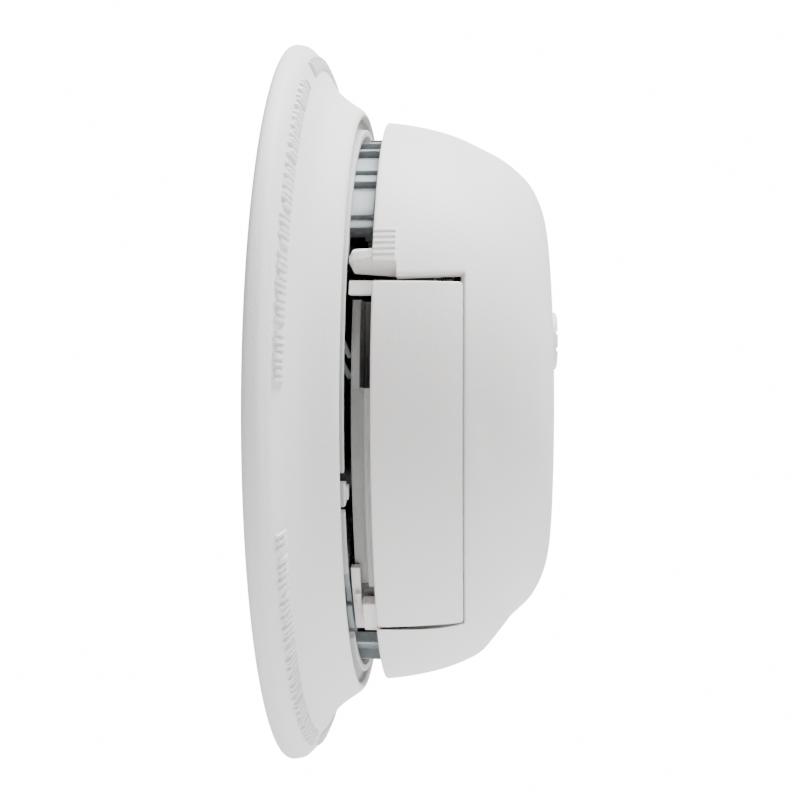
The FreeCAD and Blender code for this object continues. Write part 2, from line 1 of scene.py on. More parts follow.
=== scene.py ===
import json
import math
import bmesh
import bpy
import numpy as np
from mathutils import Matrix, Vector


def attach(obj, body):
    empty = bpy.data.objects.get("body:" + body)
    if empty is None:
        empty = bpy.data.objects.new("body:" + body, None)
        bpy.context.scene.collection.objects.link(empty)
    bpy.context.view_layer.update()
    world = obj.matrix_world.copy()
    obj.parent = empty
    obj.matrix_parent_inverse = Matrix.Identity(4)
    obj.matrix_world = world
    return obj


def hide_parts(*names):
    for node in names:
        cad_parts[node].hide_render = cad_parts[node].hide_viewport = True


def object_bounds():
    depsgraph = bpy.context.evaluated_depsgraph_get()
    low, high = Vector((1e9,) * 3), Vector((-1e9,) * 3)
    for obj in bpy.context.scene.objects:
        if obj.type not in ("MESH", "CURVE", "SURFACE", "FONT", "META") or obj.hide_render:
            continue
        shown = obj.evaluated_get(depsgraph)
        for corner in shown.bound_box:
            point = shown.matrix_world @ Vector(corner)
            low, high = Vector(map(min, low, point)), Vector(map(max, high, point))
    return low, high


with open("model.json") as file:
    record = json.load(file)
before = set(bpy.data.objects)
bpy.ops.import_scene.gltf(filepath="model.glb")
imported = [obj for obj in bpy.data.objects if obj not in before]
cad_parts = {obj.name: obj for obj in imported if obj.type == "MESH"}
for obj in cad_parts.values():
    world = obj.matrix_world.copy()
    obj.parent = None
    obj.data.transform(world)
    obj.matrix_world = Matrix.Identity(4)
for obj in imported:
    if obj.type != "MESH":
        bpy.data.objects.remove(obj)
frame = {"nodes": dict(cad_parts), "record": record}
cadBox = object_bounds()
nodes = frame["nodes"]
mm = 0.001

# Places are worked out in millimetres as (radius, depth): depth runs from the wall into the room, along -Y.
# Angles are turned about the alarm's axis, from +X towards +Z.


def metres(points):
    return (np.asarray(points).reshape(-1, 3) * mm).tolist()


def around(radius, depth, angle):
    # where a radius, a depth and an angle meet
    return np.stack([radius * np.cos(angle), -depth + 0 * angle, radius * np.sin(angle)], -1)


def putMesh(name, points, faces, body, material, replaced=()):
    mesh = bpy.data.meshes.new(name)
    faces = faces if isinstance(faces, list) else faces.tolist()
    mesh.from_pydata(metres(points), [], faces)
    piece = bpy.data.objects.new(name, mesh)
    bpy.context.scene.collection.objects.link(piece)
    piece.data.materials.append(material)
    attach(piece, body)
    for node in replaced:
        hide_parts(node)
    return piece


def gridFaces(rows, columns, closedRows=False, closedColumns=False):
    # quads between neighbouring grid points, as index arrays
    rowIndex = np.arange(rows if closedRows else rows - 1)
    columnIndex = np.arange(columns if closedColumns else columns - 1)
    a, b = np.meshgrid(rowIndex, columnIndex, indexing="ij")
    nextA, nextB = (a + 1) % rows, (b + 1) % columns
    corners = (a * columns + b, a * columns + nextB, nextA * columns + nextB, nextA * columns + b)
    return np.stack(corners, -1).reshape(-1, 4)


def smoothCurve(points, count):
    # Catmull-Rom: between two points the curve leaves and arrives along the line joining their neighbours
    points = np.asarray(points, float)
    padded = np.vstack([2 * points[0] - points[1], points, 2 * points[-1] - points[-2]])
    steps = np.r_[0, np.cumsum(np.hypot(*np.diff(points, axis=0).T))]
    at = np.linspace(0, steps[-1], count)
    k = np.clip(np.searchsorted(steps, at, side="right") - 1, 0, len(points) - 2)
    t = ((at - steps[k]) / (steps[k + 1] - steps[k]))[:, None]
    p0, p1, p2, p3 = padded[k], padded[k + 1], padded[k + 2], padded[k + 3]
    first = p2 - p0
    second = 2 * p0 - 5 * p1 + 4 * p2 - p3
    third = 3 * p1 - p0 - 3 * p2 + p3
    return 0.5 * (2 * p1 + first * t + second * t ** 2 + third * t ** 3)


def roundedOutline(corners, radii, arcSteps=5):
    # a closed (radius, depth) outline whose corners are quarter-like arcs, each tangent to its two sides
    corners = np.asarray(corners, float)
    outline = []
    for index, (corner, size) in enumerate(zip(corners, radii)):
        before = corners[index - 1] - corner
        after = corners[(index + 1) % len(corners)] - corner
        before, after = before / np.hypot(*before), after / np.hypot(*after)
        if size <= 0:
            outline.append(corner[None])
            continue
        t = np.linspace(0, 1, arcSteps)[:, None]
        start, end = corner + before * size, corner + after * size
        outline.append((1 - t) ** 2 * start + 2 * t * (1 - t) * corner + t ** 2 * end)
    return np.vstack(outline)


def turned(profile, columns):
    # a profile of (radius, depth) carried round the alarm's axis
    angle = np.linspace(0, 2 * math.pi, columns, endpoint=False)
    return around(profile[:, 0][:, None], profile[:, 1][:, None], angle)


def smoothByAngle(piece, degrees=32):
    piece.data.shade_smooth()
    piece.data.set_sharp_from_angle(angle=math.radians(degrees))


def bevelled(piece, width, segments=2, degrees=35):
    edge = piece.modifiers.new("edge", "BEVEL")
    edge.width = width * mm
    edge.segments = segments
    edge.limit_method = "ANGLE"
    edge.angle_limit = math.radians(degrees)
    edge.harden_normals = False
    return edge


def applyModifiers(piece):
    bpy.context.view_layer.update()
    depsgraph = bpy.context.evaluated_depsgraph_get()
    mesh = bpy.data.meshes.new_from_object(piece.evaluated_get(depsgraph), depsgraph=depsgraph)
    piece.modifiers.clear()
    old = piece.data
    piece.data = mesh
    bpy.data.meshes.remove(old)


# ---- materials ----
print("materials")


def newGroup(name, inputs, outputs):
    tree = bpy.data.node_groups.new(name, "ShaderNodeTree")
    for title, kind, value in inputs:
        socket = tree.interface.new_socket(name=title, in_out="INPUT", socket_type=kind)
        socket.default_value = value
    for title, kind in outputs:
        tree.interface.new_socket(name=title, in_out="OUTPUT", socket_type=kind)
    return tree, tree.nodes.new("NodeGroupInput"), tree.nodes.new("NodeGroupOutput")


def mathNode(tree, operation, *values):
    node = tree.nodes.new("ShaderNodeMath")
    node.operation = operation
    for index, value in enumerate(values):
        if isinstance(value, (int, float)):
            node.inputs[index].default_value = value
        else:
            tree.links.new(value, node.inputs[index])
    return node.outputs[0]


def noiseNode(tree, vector, scale, detail=2.0, roughness=0.5):
    node = tree.nodes.new("ShaderNodeTexNoise")
    node.inputs["Detail"].default_value = detail
    node.inputs["Roughness"].default_value = roughness
    if isinstance(scale, (int, float)):
        node.inputs["Scale"].default_value = scale
    else:
        tree.links.new(scale, node.inputs["Scale"])
    tree.links.new(vector, node.inputs["Vector"])
    return node.outputs["Fac"]


# scales are per metre, and the rest are strengths
skinLook = dict(wavyScale=90.0, wavyHeight=0.6, patchScale=28.0, speckScale=900.0, speckShade=0.03,
                roughSpread=0.22)


def mouldedGroup(look):
    # eroded-tool grain, slow waviness, and faint grime that gathers in soft patches
    inputs = [("Vector", "NodeSocketVector", (0, 0, 0)), ("Grain Scale", "NodeSocketFloat", 2600.0),
              ("Grime", "NodeSocketFloat", 0.05), ("Roughness", "NodeSocketFloat", 0.5)]
    outputs = [(title, "NodeSocketFloat") for title in ("Height", "Shade", "Roughness")]
    tree, into, out = newGroup("mouldedSkin", inputs, outputs)
    vector = into.outputs["Vector"]
    fine = noiseNode(tree, vector, into.outputs["Grain Scale"], 3.0, 0.6)
    wavy = noiseNode(tree, vector, look["wavyScale"], 1.0)
    patches = noiseNode(tree, vector, look["patchScale"], 4.0, 0.55)
    speck = noiseNode(tree, vector, look["speckScale"], 2.0, 0.5)
    height = mathNode(tree, "ADD", fine, mathNode(tree, "MULTIPLY", wavy, look["wavyHeight"]))
    grime = mathNode(tree, "MULTIPLY", mathNode(tree, "SUBTRACT", patches, 0.5), into.outputs["Grime"])
    dots = mathNode(tree, "MULTIPLY", mathNode(tree, "SUBTRACT", speck, 0.5), look["speckShade"])
    tree.links.new(height, out.inputs["Height"])
    tree.links.new(mathNode(tree, "ADD", mathNode(tree, "ADD", grime, dots), 1.0), out.inputs["Shade"])
    spread = mathNode(tree, "MULTIPLY", mathNode(tree, "SUBTRACT", fine, 0.5), look["roughSpread"])
    rough = mathNode(tree, "ADD", into.outputs["Roughness"], spread)
    tree.links.new(rough, out.inputs["Roughness"])
    return tree


mouldedSkin = mouldedGroup(skinLook)


def shaderBase(name):
    material = bpy.data.materials.new(name)
    material.use_nodes = True
    tree = material.node_tree
    shader = tree.nodes["Principled BSDF"]
    place = tree.nodes.new("ShaderNodeTexCoord")
    return material, tree, shader, place.outputs["Object"]


def tinted(tree, shader, color, shade):
    tint = tree.nodes.new("ShaderNodeMix")
    tint.data_type = "RGBA"
    tint.blend_type = "MULTIPLY"
    tint.inputs["Factor"].default_value = 1.0
    tint.inputs["A"].default_value = (*color, 1)
    tree.links.new(shade, tint.inputs["B"])
    tree.links.new(tint.outputs["Result"], shader.inputs["Base Color"])


def mouldedPlastic(name, color, roughness=0.5, grainScale=2600.0, bump=0.25, grime=0.05):
    material, tree, shader, where = shaderBase(name)
    skin = tree.nodes.new("ShaderNodeGroup")
    skin.node_tree = mouldedSkin
    skin.inputs["Grain Scale"].default_value = grainScale
    skin.inputs["Grime"].default_value = grime
    skin.inputs["Roughness"].default_value = roughness
    tree.links.new(where, skin.inputs["Vector"])
    tinted(tree, shader, color, skin.outputs["Shade"])
    tree.links.new(skin.outputs["Roughness"], shader.inputs["Roughness"])
    relief = tree.nodes.new("ShaderNodeBump")
    relief.inputs["Strength"].default_value = bump
    relief.inputs["Distance"].default_value = 0.00012
    tree.links.new(skin.outputs["Height"], relief.inputs["Height"])
    tree.links.new(relief.outputs["Normal"], shader.inputs["Normal"])
    shader.inputs["Specular IOR Level"].default_value = 0.45
    return material


def plainMetal(name, color, roughness=0.3, grain=400.0):
    material, tree, shader, where = shaderBase(name)
    shader.inputs["Metallic"].default_value = 1.0
    brushed = tree.nodes.new("ShaderNodeMapping")
    brushed.inputs["Scale"].default_value = (1.0, 6.0, 1.0)
    tree.links.new(where, brushed.inputs["Vector"])
    streak = noiseNode(tree, brushed.outputs["Vector"], grain, 3.0, 0.6)
    shade = mathNode(tree, "ADD", mathNode(tree, "MULTIPLY", streak, 0.3), 0.85)
    tinted(tree, shader, color, shade)
    rough = mathNode(tree, "ADD", mathNode(tree, "MULTIPLY", streak, 0.25), roughness - 0.12)
    tree.links.new(rough, shader.inputs["Roughness"])
    return material


coverPlastic = mouldedPlastic("coverPlastic", (0.81, 0.768, 0.742), 0.5, 1500.0, 0.5)
bracketPlastic = mouldedPlastic("bracketPlastic", (0.79, 0.758, 0.738), 0.52, 1500.0, 0.5)
# painted shade: a dark grey that stands in for the shadow in the narrow groove round the bracket's lip
groovePaintedShade = mouldedPlastic("groovePaintedShade", (0.42, 0.43, 0.40), 0.6, 1500.0, 0.5, 0.2)
# painted shade: the tray gets a dark grey, far below the cover's white, that stands in for the shadow it sits
# in behind the dome
trayPaintedShade = mouldedPlastic("trayPaintedShade", (0.41, 0.405, 0.39), 0.5, 1800.0, 0.35, 0.12)
housingPlastic = mouldedPlastic("housingPlastic", (0.30, 0.325, 0.338), 0.45, 1800.0, 0.35, 0.08)
blackPlastic = mouldedPlastic("blackPlastic", (0.02, 0.02, 0.022), 0.45)
boardMask = mouldedPlastic("boardMask", (0.02, 0.14, 0.06), 0.3, bump=0.1)
redResin = mouldedPlastic("redResin", (0.35, 0.04, 0.03), 0.25, bump=0.1)
sleevePlastic = mouldedPlastic("sleevePlastic", (0.03, 0.035, 0.09), 0.25, bump=0.05)
tanLacquer = mouldedPlastic("tanLacquer", (0.5, 0.36, 0.2), 0.3, bump=0.05)
batterySkin = mouldedPlastic("batterySkin", (0.014, 0.014, 0.016), 0.4, bump=0.06)
steelPlain = plainMetal("steelPlain", (0.62, 0.62, 0.63), 0.35)
brassPlain = plainMetal("brassPlain", (0.78, 0.60, 0.30), 0.35)
nickelPlain = plainMetal("nickelPlain", (0.72, 0.70, 0.66), 0.25)
lensPlastic = mouldedPlastic("lensPlastic", (0.7, 0.82, 0.75), 0.15, bump=0.03)

# ---- pieces ----


def outward(piece, merge=0.0004):
    # merges doubled points, such as a pole's, and turns every face outwards
    work = bmesh.new()
    work.from_mesh(piece.data)
    bmesh.ops.remove_doubles(work, verts=work.verts, dist=merge * mm)
    bmesh.ops.recalc_face_normals(work, faces=work.faces)
    work.to_mesh(piece.data)
    work.free()


def cutterMesh(name, points, faces):
    mesh = bpy.data.meshes.new(name)
    mesh.from_pydata(metres(points), [], faces)
    cutter = bpy.data.objects.new(name, mesh)
    bpy.context.scene.collection.objects.link(cutter)
    outward(cutter)
    return cutter


def cutAway(piece, cutters):
    # one exact boolean takes all the cutters out of the piece, and the cutters are then removed
    first = cutters[0]
    with bpy.context.temp_override(active_object=first, selected_editable_objects=cutters):
        bpy.ops.object.join()
    cut = piece.modifiers.new("cut", "BOOLEAN")
    cut.operation = "DIFFERENCE"
    cut.solver = "EXACT"
    cut.use_self = False
    cut.object = first
    applyModifiers(piece)
    bpy.data.meshes.remove(first.data)


def columnFaces(count, layers=2):
    # side walls of a prism with count corners, and its two ends
    walls = [tuple(face) for face in gridFaces(layers, count, closedColumns=True)]
    return walls + [tuple(range(count)), tuple(range((layers - 1) * count, layers * count))[::-1]]


def prismPoints(outline, back, front):
    # an (x, z) outline at two depths
    outline = np.asarray(outline, float)
    levels = [np.full(len(outline), -depth) for depth in (back, front)]
    return np.stack([np.c_[outline[:, 0], level, outline[:, 1]] for level in levels])


def circleOutline(x, z, radius, count=64):
    angle = np.linspace(0, 2 * math.pi, count, endpoint=False)
    return np.c_[x + radius * np.cos(angle), z + radius * np.sin(angle)]


def slotOutline(x, z, reach, radius, alongX=True, count=12):
    # a slot with round ends: two half circles joined by straight sides
    angle = np.linspace(-math.pi / 2, math.pi / 2, count)
    ends = np.r_[np.c_[reach + radius * np.cos(angle), radius * np.sin(angle)],
                 np.c_[-reach - radius * np.cos(angle), -radius * np.sin(angle)]]
    return np.c_[x + ends[:, 0], z + ends[:, 1]] if alongX else np.c_[x - ends[:, 1], z + ends[:, 0]]


def arcSlot(x, z, radius, half, low, high, count=14):
    # a curved slot about (x, z): out along the outer arc, round the end, back along the inner arc
    middle = np.linspace(low, high, count)
    cap = np.linspace(0, math.pi, 7)[1:-1]
    outer = np.c_[(radius + half) * np.cos(middle), (radius + half) * np.sin(middle)]
    inner = np.c_[(radius - half) * np.cos(middle[::-1]), (radius - half) * np.sin(middle[::-1])]

    def endCap(turn, way):
        centre = radius * np.array([math.cos(turn), math.sin(turn)])
        along = np.array([-math.sin(turn), math.cos(turn)]) * way
        across = np.array([math.cos(turn), math.sin(turn)]) * way
        return centre + half * (np.cos(cap)[:, None] * across + np.sin(cap)[:, None] * along)

    return np.r_[outer, endCap(high, 1), inner, endCap(low, -1)] + np.array([x, z])


def sweptBlocks(blocks, columns=7):
    # blocks cut from rings: each is a (radius, depth) rectangle swept over a few degrees
    points, faces = [], []
    for inner, outer, low, high, back, front in blocks:
        angle = np.radians(np.linspace(low, high, columns))[:, None]
        radius = np.array([inner, outer, outer, inner])
        depth = np.array([back, back, front, front])
        start = sum(len(part) for part in points)
        points.append(around(radius, depth, angle).reshape(-1, 3))
        faces += [tuple(start + corner for corner in face) for face in columnFaces(4, columns)]
    return np.vstack(points), faces


def sectionBlock(sections):
    # matching sections, each a list of (x, depth, z) corners, joined up into one closed block
    sections = np.asarray(sections, float)
    points = np.stack([sections[..., 0], -sections[..., 1], sections[..., 2]], -1)
    return points.reshape(-1, 3), columnFaces(sections.shape[1], len(sections))


def ringBlocks(name, blocks, body, slot, material, edge=0.15, columns=7):
    points, faces = sweptBlocks(blocks, columns)
    return blockPiece(name, points, faces, body, slot, material, edge)


def blockPiece(name, points, faces, body, slot, material, edge=0.15, replaced=()):
    piece = putMesh(name, points, faces, body, material, replaced)
    outward(piece)
    if edge:
        bevelled(piece, edge, 2)
    smoothByAngle(piece)
    return piece


# what is cut through the bracket: screw slots in its plate, and notches in its lip as (from angle, to angle)
bracketShape = dict(columns=360, plate=2.2, widePitch=88.9, narrowPitch=69.85, slotHalfWidth=2.25,
                    slotLength=9.0, notches=((191.0, 193.1), (197.2, 198.3), (210.9, 229.6)),
                    notchRing=(53.0, 55.7), notchDepths=(12.3, 15.0), groove=(55.25, 57.45, 12.1, 13.85))
# its lugs, stops and webs, with angles from the middle of each
lockShape = dict(angles=(45, 135, 225, 315), ring=(51.9, 54.6), tab=(-6, 6, 7.8, 9.8),
                 stop=(-7.4, -5.4, 5.0, 9.7))
webShape = dict(ring=(55.8, 66.6), spacing=30, halfAngle=0.7, depths=(0.5, 4.3))
# the small stepped block beside the drawer, in the gap between the lip's two notches
catchBlocks = [(53.2, 55.2, 193.2, 197.1, 9.0, 14.1), (52.6, 54.2, 193.9, 196.4, 9.0, 14.5)]
# the bracket's closed outline, (radius, depth): flange, lip, plate and the hollow behind the flange
flangeOutline = [(72.1, 1.7), (71.8, 2.7), (70.9, 3.7), (69.9, 4.45), (66.8, 5.85), (64.0, 7.5),
                 (62.5, 8.8), (61.2, 10.4), (60.1, 12.0), (59.3, 13.1)]
lipCorners = [(59.3, 13.1), (58.5, 13.75), (57.6, 13.3), (57.3, 12.3), (55.5, 12.3), (55.4, 13.95),
              (54.0, 13.95), (54.0, 10.0)]
plateCorners = [(54.0, 5.0), (54.0, 2.2), (25.0, 2.2), (25.0, 0.0), (56.0, 0.0), (56.0, 10.6)]
hollowOutline = [(57.0, 11.4), (59.6, 8.9), (62.5, 6.3), (65.9, 4.3), (68.9, 2.9), (70.1, 1.6)]


def shadeGroove(bracket, groove):
    # painted shade: the faces that line the narrow groove around the lip get a darker material that stands in
    # for the shadow falling in the groove
    inner, outer, back, front = groove
    mesh = bracket.data
    centre = np.empty(len(mesh.polygons) * 3)
    mesh.polygons.foreach_get("center", centre)
    x, y, z = centre.reshape(-1, 3).T / mm
    radius = np.hypot(x, z)
    inside = (radius > inner) & (radius < outer) & (-y > back) & (-y < front)
    mesh.materials.append(groovePaintedShade)
    mesh.polygons.foreach_set("material_index", inside.astype(np.int32))


def bracketPiece(shape):
    rim = roundedOutline([(70.2, 0.0), (72.2, 0.0), (72.2, 1.7)], (0, 1.0, 0), 7)[:-1]
    curve = smoothCurve(flangeOutline, 60)
    lip = roundedOutline(lipCorners, (0, 0.5, 0.3, 0.25, 0.25, 0.3, 0.3, 0), 5)[1:]
    plate = roundedOutline(plateCorners, (0, 0.4, 0.3, 0.3, 0.2, 0.5), 4)
    profile = np.vstack([rim, curve, lip, plate, smoothCurve(hollowOutline, 24)])
    grid = turned(profile, shape["columns"])
    faces = gridFaces(len(profile), shape["columns"], closedRows=True, closedColumns=True)
    bracket = putMesh("bracketShell", grid, faces, "bracket", bracketPlastic,
                      ["mounting_bracket"])
    outward(bracket)
    reach = shape["slotLength"] / 2 - shape["slotHalfWidth"]
    cutters = []
    for side in (-1, 1):
        wide = ((side * shape["widePitch"] / 2, 0), True)
        narrow = ((0, side * shape["narrowPitch"] / 2), False)
        for place, alongX in (wide, narrow):
            outline = slotOutline(*place, reach, shape["slotHalfWidth"], alongX)
            prism = prismPoints(outline, -1, shape["plate"] + 1)
            cutters.append(cutterMesh("slotCutter", prism, columnFaces(len(outline))))
    for low, high in shape["notches"]:
        notch = (*shape["notchRing"], low, high, *shape["notchDepths"])
        cutters.append(cutterMesh("notchCutter", *sweptBlocks([notch], 4 + int(high - low))))
    cutAway(bracket, cutters)
    smoothByAngle(bracket)
    shadeGroove(bracket, shape["groove"])


def bracketBlocks(lock, web):
    ride = ("bracket", "bracket_plastic", bracketPlastic)
    for name, (low, high, back, front) in (("lockTabs", lock["tab"]), ("lockStops", lock["stop"])):
        blocks = [(*lock["ring"], angle + low, angle + high, back, front) for angle in lock["angles"]]
        ringBlocks(name, blocks, *ride)
    half = web["halfAngle"]
    webs = [(*web["ring"], angle - half, angle + half, *web["depths"])
            for angle in range(0, 360, web["spacing"])]
    ringBlocks("bracketWebs", webs, *ride, columns=2)
    ringBlocks("lipCatch", catchBlocks, *ride, edge=0.12)


# raised dashes on the flange's band, in groups like words: widths, gaps and groups are in degrees
dashShape = dict(inner=66.9, outer=70.0, height=0.6, sink=0.25, gap=0.42, wordGap=1.2,
                 widths=(0.45, 0.65, 0.5, 0.75, 0.45, 0.6, 0.7), words=(7, 10, 5, 8, 12),
                 reaches=(1.0, 0.85, 1.0, 1.0, 0.78, 1.0, 0.9, 1.0, 0.82),
                 groups=((176, 120), (114, 70), (64, 8), (196, 250), (256, 310), (316, 345)))


def flangeDashes(shape):
    # each dash is a low pillow on the flange: its height rises steeply from the edge and is level on top
    curve = smoothCurve(flangeOutline, 400)[::-1]
    starts, ends = [], []
    count, word, left = 0, 0, shape["words"][0]
    for first, last in shape["groups"]:
        way = 1 if last > first else -1
        angle = first
        while (last - angle) * way > 1.5:
            width = shape["widths"][count % len(shape["widths"])]
            starts.append(min(angle, angle + way * width))
            ends.append(max(angle, angle + way * width))
            count += 1
            left -= 1
            angle += way * (width + (shape["gap"] if left else shape["wordGap"]))
            if left == 0:
                word += 1
                left = shape["words"][word % len(shape["words"])]
    starts, ends = np.array(starts), np.array(ends)
    across = np.array([0.0, 0.05, 0.14, 0.86, 0.95, 1.0])
    up = np.array([0.0, 0.08, 0.2, 0.8, 0.92, 1.0])
    rise = np.array([-shape["sink"], 0.6, 1.0, 1.0, 0.6, -shape["sink"]])
    angle = np.radians(starts[:, None, None] + (ends - starts)[:, None, None] * across[None, None, :])
    reach = np.resize(shape["reaches"], len(starts))[:, None]
    radius = shape["inner"] + (shape["outer"] - shape["inner"]) * up * reach
    depth = np.interp(radius, curve[:, 0], curve[:, 1])
    slope = np.gradient(curve[:, 1], curve[:, 0])
    tilt = np.interp(radius, curve[:, 0], slope)
    lift = np.minimum.outer(rise, rise)
    lift = np.where(lift < 0, lift, lift * shape["height"])
    lean = np.hypot(1, tilt)
    outRadius = radius[:, :, None] - (tilt / lean)[:, :, None] * lift
    outDepth = depth[:, :, None] + (1 / lean)[:, :, None] * lift
    points = np.stack([outRadius * np.cos(angle), -outDepth, outRadius * np.sin(angle)], -1)
    rows, columns = len(up), len(across)
    face = gridFaces(rows, columns)
    rightSide = np.arange(1, rows) * columns + columns - 1
    topSide = (rows - 1) * columns + np.arange(columns - 2, -1, -1)
    leftSide = np.arange(rows - 2, 0, -1) * columns
    border = np.r_[np.arange(columns), rightSide, topSide, leftSide]
    faces = []
    for index in range(len(starts)):
        faces += [tuple(corner + index * rows * columns for corner in quad) for quad in face.tolist()]
        faces.append(tuple(index * rows * columns + border[::-1]))
    piece = putMesh("bandDashes", points, faces, "bracket", bracketPlastic)
    outward(piece, 0.0001)
    smoothByAngle(piece, 50)
    return piece


# the dome, (radius, depth) from its rear edge to its front
domeOutline = [(56.75, 18.35), (56.55, 20.3), (56.05, 23.5), (55.35, 26.7), (54.5, 29.8), (53.3, 33.0),
               (51.75, 36.2), (50.1, 39.4), (48.1, 42.5), (45.3, 45.6), (43.3, 47.1), (40.6, 48.45),
               (37.4, 49.4), (33.0, 49.85), (24.0, 50.4), (12.0, 51.0), (0.0, 51.4)]
crescentStep = [(62.0, 27.0), (51.9, 36.2), (50.35, 37.8), (48.4, 39.4), (46.4, 41.0), (44.3, 42.6),
                (33.0, 49.6), (28.0, 52.0)]
# recess is (x, depth, height) low and high; relief is a cone about the drawer's pivot, as (radius, depth)
coverShape = dict(wall=2.0, openingBack=16.0, openingFront=33.9, openingBottom=-39.3, openingTop=(22.0, 23.0),
                  sideRows=17, frontRows=62, longColumns=330, shortColumns=60, edge=0.3,
                  crescentShift=4.3, crescentForward=0.35, pivot=(-37.5, -32.6),
                  recess=((-62.0, -46.0), (16.0, 22.5), (21.0, 24.7)), relief=((7.65, 16.0), (6.85, 33.5)))
frontShape = dict(buttonZ=12.0, buttonHole=6.3, lightZ=-1.5, lightHole=1.55, hornZ=-22.0, hornCentre=1.3,
                  slotHalf=0.8, hornRings=((4.6, 3), (8.0, 4), (11.4, 6)))


def fineDome():
    return smoothCurve(domeOutline, 3000)


def domeRadius(depth):
    curve = fineDome()
    return np.interp(depth, curve[:, 1], curve[:, 0])


def crescentRadius(radius, depth, angle, shape):
    # the lower front is cut back to a second dome that sits higher, from where a slanting step meets it
    shift = shape["crescentShift"]
    higher = domeRadius(depth - shape["crescentForward"])
    second = shift * np.sin(angle) + np.sqrt(np.maximum(higher ** 2 - (shift * np.cos(angle)) ** 2, 0))
    slant = np.array(crescentStep)
    step = np.interp(depth, slant[:, 1], slant[:, 0])
    soft = 0.35
    blend = np.clip(0.5 + 0.5 * (second - step) / soft, 0, 1)
    inner = step * (1 - blend) + second * blend + soft * blend * (1 - blend) * 0.5
    soft = 0.8
    blend = np.clip(0.5 + 0.5 * (inner - radius) / soft, 0, 1)
    cut = inner * (1 - blend) + radius * blend - soft * blend * (1 - blend) * 0.5
    return np.where(np.sin(angle) < 0, np.minimum(radius, cut), radius)


def coverPiece(shape, front):
    curve = fineDome()
    along = np.r_[0, np.cumsum(np.hypot(*np.diff(curve, axis=0).T))]
    opening = np.interp(shape["openingFront"], curve[:, 1], along)
    sideStations = np.linspace(0, opening, shape["sideRows"])
    frontStations = np.linspace(opening, along[-1], shape["frontRows"])[1:]
    stations = np.r_[sideStations, frontStations]
    radius = np.interp(stations, along, curve[:, 0])
    depth = np.interp(stations, along, curve[:, 1])
    rowDepth = np.minimum(depth, shape["openingFront"])
    rowRadius = np.maximum(radius, radius[shape["sideRows"] - 1])
    low, high = shape["openingTop"]
    back = shape["openingBack"]
    top = low + (high - low) * (rowDepth - back) / (shape["openingFront"] - back)
    topAngle = math.pi - np.arcsin(top / rowRadius)
    bottomAngle = math.pi + np.arcsin(-shape["openingBottom"] / rowRadius)
    spanLong = np.linspace(0, 1, shape["longColumns"], endpoint=False)
    spanShort = np.linspace(0, 1, shape["shortColumns"], endpoint=False)
    longAngle = bottomAngle[:, None] + (2 * math.pi + topAngle - bottomAngle)[:, None] * spanLong
    shortAngle = topAngle[:, None] + (bottomAngle - topAngle)[:, None] * spanShort
    angle = np.hstack([longAngle, shortAngle])
    r = crescentRadius(radius[:, None] + 0 * angle, depth[:, None] + 0 * angle, angle, shape)
    grid = around(r, depth[:, None], angle)
    rows, columns = angle.shape
    faces = gridFaces(rows, columns, closedColumns=True)
    row, column = faces[:, 0] // columns, faces[:, 0] % columns
    keep = (row >= shape["sideRows"] - 1) | (column < shape["longColumns"])
    cover = putMesh("coverShell", grid, faces[keep], "alarm", coverPlastic, ["front_cover"])
    outward(cover)
    wall = cover.modifiers.new("wall", "SOLIDIFY")
    wall.thickness = shape["wall"] * mm
    wall.offset = -1
    wall.use_even_offset = True
    bevelled(cover, shape["edge"], 3, 50)
    applyModifiers(cover)
    cutters = []

    def through(outline, behind=40.0, ahead=56.0):
        prism = prismPoints(outline, behind, ahead)
        cutters.append(cutterMesh("frontCutter", prism, columnFaces(len(outline))))

    through(circleOutline(0, front["buttonZ"], front["buttonHole"], 96))
    through(circleOutline(0, front["lightZ"], front["lightHole"], 40))
    through(circleOutline(0, front["hornZ"], front["hornCentre"], 32))
    for ringRadius, count in front["hornRings"]:
        for index in range(count):
            middle = 2 * math.pi * index / count + math.pi / 2
            half = math.pi / count - math.radians(60 / ringRadius)
            through(arcSlot(0, front["hornZ"], ringRadius, front["slotHalf"], middle - half, middle + half))
    # the corner above the drawer that the hook hangs into
    sides, (near, far), (floor, roof) = shape["recess"]
    recess = [[(x, near, floor), (x, near, roof), (x, far, roof), (x, far, floor)] for x in sides]
    cutters.append(cutterMesh("recessCutter", *sectionBlock(recess)))
    pivotX, pivotZ = shape["pivot"]
    cone = []
    for size, level in shape["relief"]:
        ring = circleOutline(pivotX, pivotZ, size, 72)
        cone.append(np.c_[ring[:, 0], np.full(len(ring), -level), ring[:, 1]])
    cutters.append(cutterMesh("reliefCutter", cone, columnFaces(72)))
    cutAway(cover, cutters)
    smoothByAngle(cover)
    return cover


# the drawer's face: a rounded rectangle of the dome, (height, depth), with rolled edges
faceShape = dict(top=21.4, bottom=-39.0, back=18.5, front=33.6, corner=0.7, edge=0.3, wall=2.0, points=260)


